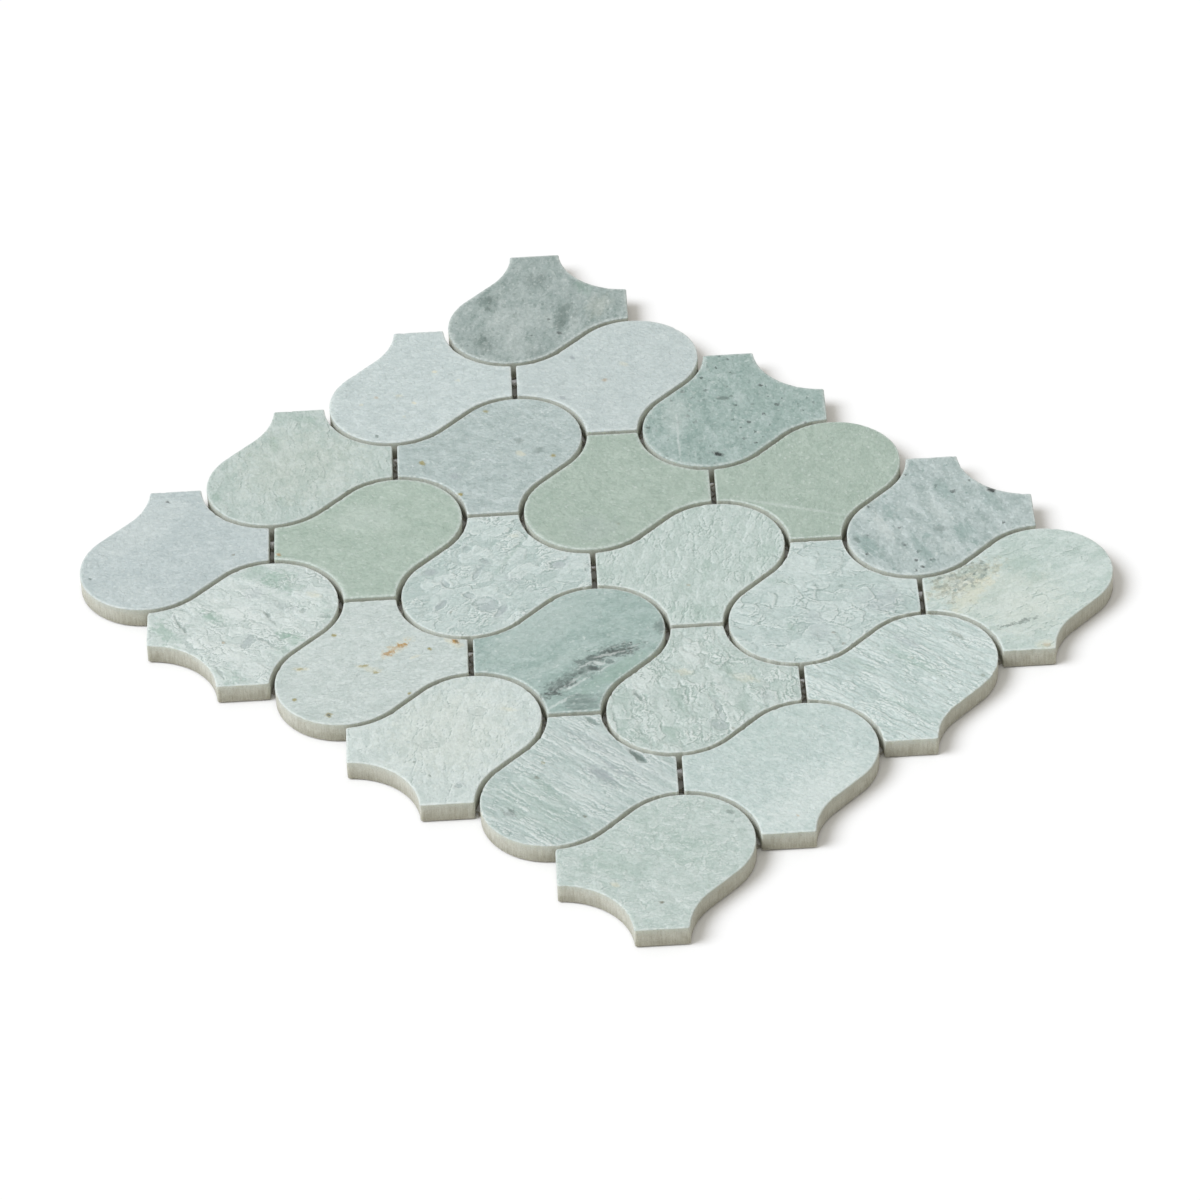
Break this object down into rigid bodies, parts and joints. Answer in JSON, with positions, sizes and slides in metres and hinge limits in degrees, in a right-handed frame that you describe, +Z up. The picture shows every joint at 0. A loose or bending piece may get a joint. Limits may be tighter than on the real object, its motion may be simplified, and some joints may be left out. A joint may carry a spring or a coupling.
{
  "type": "marble mosaic tile sheet",
  "caption": "Mosaic sheet of interlocking bulb-shaped marble pieces with open joints, bonded face up to a fibre net, for tiling walls and floors.",
  "frame": {"origin": "under the middle of the sheet, on the surface that it lies on", "axes": "+X along the sheet's longer side, +Y towards the back row, +Z up out of the faces"},
  "size_m": [0.3288, 0.2832, 0.0085],
  "materials": {
    "marble_white": "honed white marble with a cool grey cast, faint rust flecks",
    "marble_pale_green": "honed pale green marble, crystalline, with shallow clefts",
    "marble_sage": "honed sage green marble, fine grained and even",
    "marble_grey_green": "honed grey green marble with dark flecks and smoky veins",
    "net_fibre": "resin-bonded glass fibre threads"
  },
  "bodies": {
    "root": {"marble_piece_a1": "marble_grey_green", "marble_piece_a2": "marble_white", "marble_piece_a3": "marble_grey_green", "marble_piece_a4": "marble_sage", "marble_piece_a5": "marble_grey_green", "marble_piece_a6": "marble_pale_green", "marble_piece_b1": "marble_white", "marble_piece_b2": "marble_grey_green", "marble_piece_b3": "marble_sage", "marble_piece_b4": "marble_pale_green", "marble_piece_b5": "marble_pale_green", "marble_piece_b6": "marble_pale_green", "marble_piece_c1": "marble_pale_green", "marble_piece_c2": "marble_sage", "marble_piece_c3": "marble_pale_green", "marble_piece_c4": "marble_grey_green", "marble_piece_c5": "marble_pale_green", "marble_piece_c6": "marble_pale_green", "marble_piece_d1": "marble_white", "marble_piece_d2": "marble_pale_green", "marble_piece_d3": "marble_white", "marble_piece_d4": "marble_white", "marble_piece_d5": "marble_pale_green", "marble_piece_d6": "marble_pale_green", "net_lengthwise_threads": "net_fibre", "net_crosswise_threads": "net_fibre"}
  },
  "joints": []
}
